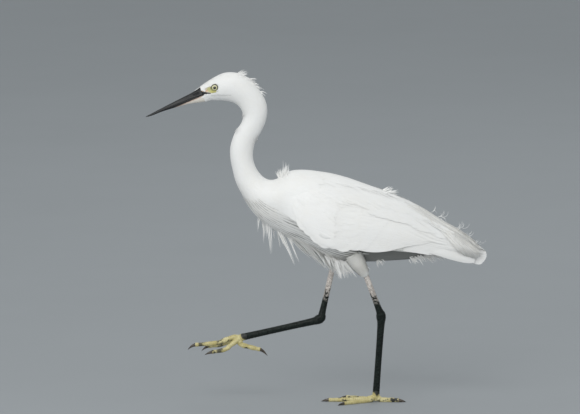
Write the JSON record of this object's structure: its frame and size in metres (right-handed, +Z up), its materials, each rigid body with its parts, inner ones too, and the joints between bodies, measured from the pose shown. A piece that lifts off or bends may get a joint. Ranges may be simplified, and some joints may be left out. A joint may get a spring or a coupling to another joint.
{
  "type": "little egret",
  "caption": "Life-size white wading bird held in mid-step, with a long bent neck, slender dark bill, folded wings, trailing back plumes, dark legs and yellow feet.",
  "frame": {"origin": "on the ground, at the middle of the sole of the left foot, which carries the bird", "axes": "the bird faces -X, its left side is -Y and +Z is up"},
  "size_m": [0.4237, 0.0942, 0.4162],
  "materials": {
    "plumage": "soft matt white feathers",
    "bill": "satin black horn",
    "eye": "wet gloss, pale yellow iris",
    "leg": "scaly black skin with a dull gloss",
    "toe": "scaly yellow skin",
    "claw": "dark horn"
  },
  "bodies": {
    "root": {"head": "plumage", "neck_upper": "plumage", "neck_lower": "plumage", "torso": "plumage", "wing_left": "plumage", "wing_right": "plumage", "tail": "plumage", "thigh_left": "plumage", "thigh_right": "plumage", "bill_upper": "bill", "bill_lower": "bill", "eye_left": "eye", "eye_right": "eye", "shank_left": "leg", "shank_right": "leg", "tarsus_left": "leg", "tarsus_right": "leg", "foot_left": "toe", "foot_right": "toe", "claw_left_inner": "claw", "claw_left_middle": "claw", "claw_left_outer": "claw", "claw_left_hind": "claw", "claw_right_inner": "claw", "claw_right_middle": "claw", "claw_right_outer": "claw", "claw_right_hind": "claw"}
  },
  "joints": []
}
